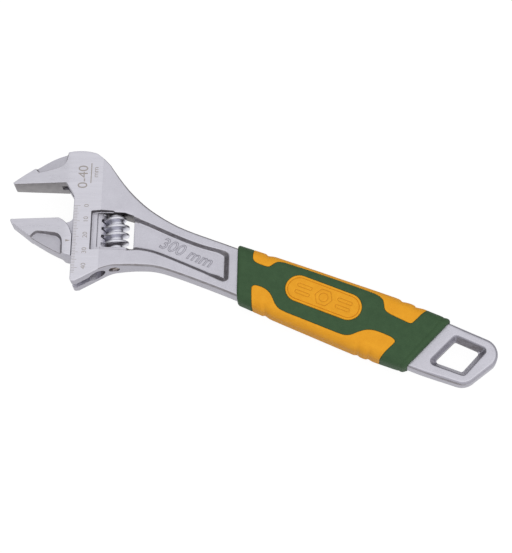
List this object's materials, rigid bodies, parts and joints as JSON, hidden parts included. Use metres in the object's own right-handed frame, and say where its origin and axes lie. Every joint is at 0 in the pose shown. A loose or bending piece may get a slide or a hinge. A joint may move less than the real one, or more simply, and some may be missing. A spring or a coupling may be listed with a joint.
{
  "type": "adjustable wrench",
  "caption": "Adjustable wrench with a head set at an angle, a movable jaw driven by a worm, a recessed handle with a hang hole, and a soft two-colour grip.",
  "frame": {"origin": "middle of the footprint, on the plane that the wrench lies on with its back down", "axes": "+X along the handle from the jaws to the hang hole, +Y across the handle to the fixed jaw's side, +Z out of the front face"},
  "size_m": [0.3112, 0.0813, 0.02],
  "materials": {
    "satin_steel": "nickel-chrome plate, bead-blasted satin, with ground head faces",
    "dark_steel": "smooth, darker",
    "green_rubber": "matte dark green",
    "yellow_rubber": "matte yellow-orange"
  },
  "bodies": {
    "body": {"wrench_body": "satin_steel", "worm_pin": "dark_steel", "worm_spring": "dark_steel", "grip_shell": "green_rubber", "grip_inlay_upper": "yellow_rubber", "grip_inlay_lower": "yellow_rubber", "badge_front": "yellow_rubber", "badge_back": "yellow_rubber"},
    "jaw": {"movable_jaw": "satin_steel"},
    "worm": {"worm": "dark_steel"}
  },
  "joints": [
    {"name": "jaw_slide", "type": "slide", "parent": "body", "child": "jaw", "axis": [0.3665, -0.9304, 0], "range_m": [-0.0224, 0.0173]},
    {"name": "worm_spin", "type": "hinge", "parent": "body", "child": "worm", "pos_m": [-0.08885, 0.0098, 0.01], "axis": [0.3665, -0.9304, 0], "range_deg": [-1260, 1630]}
  ],
  "couplings": [
    {"joint": "worm_spin", "follows": "jaw_slide", "rad_per_m": -1256.6}
  ]
}
